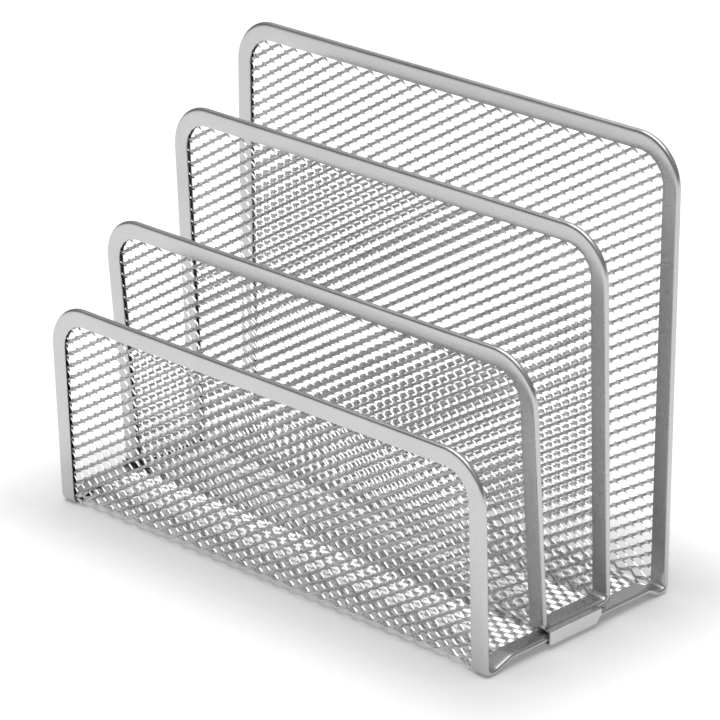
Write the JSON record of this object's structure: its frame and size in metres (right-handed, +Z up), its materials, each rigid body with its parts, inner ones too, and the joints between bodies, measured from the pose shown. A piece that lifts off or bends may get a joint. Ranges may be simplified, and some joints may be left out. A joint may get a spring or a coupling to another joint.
{
  "type": "desktop file sorter",
  "caption": "Stepped desktop file sorter of expanded steel mesh with folded steel edging; upright panels of rising height divide letters, files and notepads.",
  "frame": {"origin": "bottom centre of the bounding box, on the plane the feet rest on", "axes": "+X across the width, -Y towards the front (the lowest panel), +Y towards the tallest panel, +Z up"},
  "size_m": [0.1764, 0.083, 0.1391],
  "materials": {
    "mesh_silver": "satin silver lacquer on expanded steel mesh",
    "edging_silver": "satin silver lacquer on folded steel strip",
    "clip_silver": "satin silver lacquer on a pressed steel plate"
  },
  "bodies": {
    "root": {"outer_mesh": "mesh_silver", "outer_edging": "edging_silver", "inner_mesh": "mesh_silver", "inner_edging": "edging_silver", "left_clip": "clip_silver", "right_clip": "clip_silver"}
  },
  "joints": []
}
